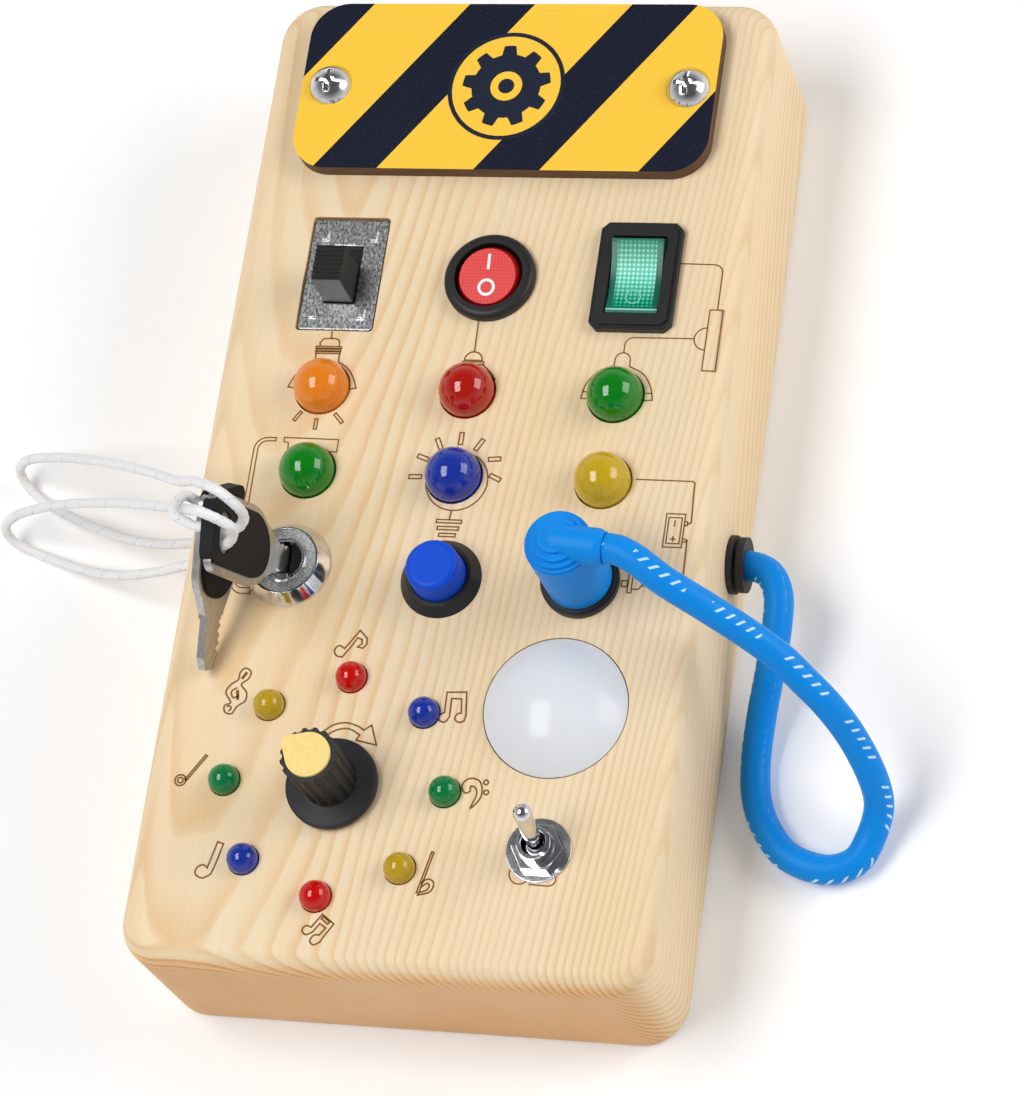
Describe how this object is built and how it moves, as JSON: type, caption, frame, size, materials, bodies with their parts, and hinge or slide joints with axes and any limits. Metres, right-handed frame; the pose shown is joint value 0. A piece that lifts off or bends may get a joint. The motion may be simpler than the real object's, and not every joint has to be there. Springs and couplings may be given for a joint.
{
  "type": "wooden busy board",
  "caption": "Pocket-size pine activity panel with slide, rocker, push, toggle and rotary switches, coloured lamps, a key lock with tethered keys and a blue cable with a plug.",
  "frame": {"origin": "middle of the board's back face, which is the floor it lies on", "axes": "+Z is the way the face looks, +Y is the top edge with the sign plate, +X is the right side with the cable grommet"},
  "size_m": [0.1748, 0.188, 0.0659],
  "materials": {
    "pine": "satin clear-coated pine",
    "plywood": "bare plywood",
    "sign_board": "painted board, yellow and navy",
    "screw_steel": "satin",
    "bright_steel": "bright plated",
    "galvanised_steel": "galvanised sheet",
    "phenolic": "matte",
    "black_plastic": "satin moulded",
    "red_clear_plastic": "translucent gloss",
    "green_clear_plastic": "translucent gloss",
    "blue_plastic": "satin",
    "chrome_metal": "polished",
    "cream_plastic": "matte",
    "grey_sintered_metal": "grainy",
    "key_steel": "nickel plated",
    "white_cord": "braided, with silver thread",
    "blue_rubber": "soft gloss",
    "black_rubber": "matte",
    "orange_lamp": "translucent gloss",
    "red_lamp": "translucent gloss",
    "green_lamp": "translucent gloss",
    "blue_lamp": "translucent gloss",
    "yellow_lamp": "translucent gloss",
    "olive_lamp": "translucent gloss",
    "white_lamp": "translucent gloss",
    "circuit_board": "solder mask",
    "cell_can": "printed can"
  },
  "bodies": {
    "board": {"board_body": "pine", "back_cover": "plywood", "back_cover_screws": "screw_steel", "sign_plate": "sign_board", "sign_screws": "bright_steel", "slide_switch_frame": "galvanised_steel", "slide_switch_base": "phenolic", "round_rocker_housing": "black_plastic", "rect_rocker_housing": "black_plastic", "push_button_housing": "black_plastic", "push_button_nut": "bright_steel", "push_button_spring": "screw_steel", "toggle_housing": "chrome_metal", "toggle_washer": "chrome_metal", "toggle_nut": "chrome_metal", "rotary_switch_body": "black_plastic", "rotary_switch_nut": "bright_steel", "lock_housing": "chrome_metal", "lock_face": "grey_sintered_metal", "lock_nut": "bright_steel", "key_cord": "white_cord", "key_cord_knot": "white_cord", "plug_socket": "black_plastic", "plug_socket_nut": "bright_steel", "power_cable": "blue_rubber", "cable_grommet": "black_rubber", "led_large_orange": "orange_lamp", "led_large_red": "red_lamp", "led_large_green": "green_lamp", "led_large_blue": "blue_lamp", "led_large_yellow": "yellow_lamp", "led_small_red": "red_lamp", "led_small_blue": "blue_lamp", "led_small_green": "green_lamp", "led_small_olive": "olive_lamp", "dome_lens": "white_lamp", "dome_lamp_board": "circuit_board", "lamp_board": "circuit_board", "ring_board": "circuit_board", "battery_box": "black_plastic", "battery_lid": "black_plastic", "battery_lid_screw": "screw_steel", "batteries": "cell_can", "battery_contacts": "screw_steel"},
    "slide_knob": {"slide_knob": "black_plastic"},
    "round_rocker": {"round_rocker_cap": "red_clear_plastic"},
    "rect_rocker": {"rect_rocker_cap": "green_clear_plastic"},
    "push_button": {"push_button_cap": "blue_plastic"},
    "toggle_lever": {"toggle_lever": "chrome_metal"},
    "rotary_knob": {"rotary_shaft": "bright_steel", "knob": "black_plastic", "knob_cap": "cream_plastic"},
    "lock_plug": {"lock_cylinder": "chrome_metal", "lock_cylinder_face": "grey_sintered_metal", "key_blade": "key_steel", "key_cover": "black_plastic"},
    "spare_key": {"spare_key_blade": "key_steel", "spare_key_cover": "black_plastic"},
    "plug": {"plug_body": "blue_rubber", "plug_pin": "bright_steel"}
  },
  "joints": [
    {"name": "slide_switch", "type": "slide", "parent": "board", "child": "slide_knob", "axis": [0, 1, 0], "range_m": [0, 0.004]},
    {"name": "round_rocker", "type": "hinge", "parent": "board", "child": "round_rocker", "pos_m": [0.0014, 0.0366, 0.031], "axis": [1, 0, 0], "range_deg": [-16, 0]},
    {"name": "rect_rocker", "type": "hinge", "parent": "board", "child": "rect_rocker", "pos_m": [0.0285, 0.0372, 0.0315], "axis": [1, 0, 0], "range_deg": [-16, 0]},
    {"name": "push_button", "type": "slide", "parent": "board", "child": "push_button", "axis": [0, 0, -1], "range_m": [0, 0.003], "stiffness_N_per_m": 200, "deforming": ["push_button_spring"]},
    {"name": "toggle_switch", "type": "hinge", "parent": "board", "child": "toggle_lever", "pos_m": [0.0258, -0.0701, 0.0335], "axis": [1, 0, 0], "range_deg": [0, 22]},
    {"name": "rotary_knob", "type": "hinge", "parent": "board", "child": "rotary_knob", "pos_m": [-0.0123, -0.0606, 0.04], "axis": [0, 0, 1], "range_deg": [-210, 90]},
    {"name": "lock_turn", "type": "hinge", "parent": "board", "child": "lock_plug", "pos_m": [-0.0274, -0.0202, 0.035], "axis": [0, 0, 1], "range_deg": [-90, 0], "deforming": ["key_cord"]},
    {"name": "spare_key_swing", "type": "hinge", "parent": "lock_plug", "child": "spare_key", "pos_m": [-0.0356, -0.0189, 0.0522], "axis": [-1, 0, 0], "range_deg": [0, 45], "deforming": ["key_cord"]},
    {"name": "plug_pull", "type": "slide", "parent": "board", "child": "plug", "axis": [0, 0, 1], "range_m": [0, 0.014], "deforming": ["power_cable"]}
  ]
}
